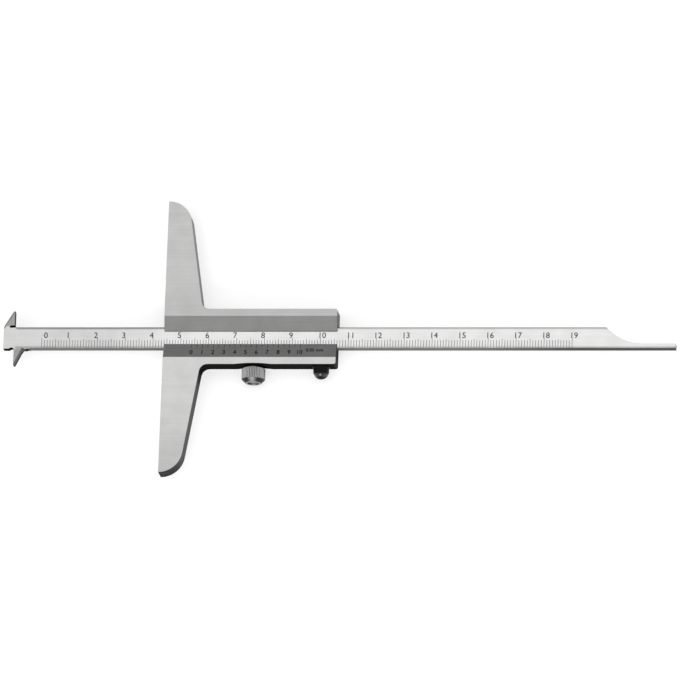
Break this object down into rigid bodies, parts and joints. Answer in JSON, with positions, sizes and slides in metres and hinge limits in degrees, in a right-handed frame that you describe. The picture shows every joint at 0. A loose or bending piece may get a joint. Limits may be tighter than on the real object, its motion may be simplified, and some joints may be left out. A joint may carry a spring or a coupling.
{
  "type": "depth gauge",
  "caption": "Vernier depth gauge with a tapered cross bridge, a windowed slider body, a long flat beam with a double hook and a narrow nose, and a knurled clamp screw.",
  "frame": {"origin": "on the measuring face of the bridge, at the middle line of the beam and the back plane of the bridge", "axes": "+X along the beam from the hook towards the nose, so the measuring face looks along -X; +Y along the bridge, away from the clamp screw; +Z out of the front face that carries the scales"},
  "size_m": [0.2408, 0.1, 0.0084],
  "materials": {
    "bridge_steel": "satin chrome plate, finely ground, with filled scale marks",
    "beam_steel": "satin chrome plate, ground along its length, with filled scale marks",
    "cover_steel": "satin ground steel",
    "screw_steel": "turned steel, slotted",
    "gib_brass": "drawn brass",
    "spring_steel": "tempered strip",
    "knob_steel": "turned and knurled steel",
    "black_screw": "glossy black"
  },
  "bodies": {
    "bridge": {"bridge": "bridge_steel", "rear_cover": "cover_steel", "cover_screws": "screw_steel", "gib": "gib_brass", "gib_springs": "spring_steel", "gib_screw": "black_screw"},
    "beam": {"beam": "beam_steel"},
    "clamp_pad": {"clamp_pad": "gib_brass"},
    "clamp_screw": {"clamp_screw": "knob_steel"}
  },
  "joints": [
    {"name": "beam_slide", "type": "slide", "parent": "bridge", "child": "beam", "axis": [-1, 0, 0], "range_m": [-0.048, 0.096]},
    {"name": "clamp_travel", "type": "slide", "parent": "bridge", "child": "clamp_pad", "axis": [0, -1, 0], "range_m": [0, 0.0009]},
    {"name": "clamp_turn", "type": "hinge", "parent": "clamp_pad", "child": "clamp_screw", "pos_m": [0.0323, -0.0136, 0.00355], "axis": [0, -1, 0], "range_deg": [0, 720]}
  ],
  "couplings": [
    {"joint": "clamp_turn", "follows": "clamp_travel", "rad_per_m": 13963}
  ]
}
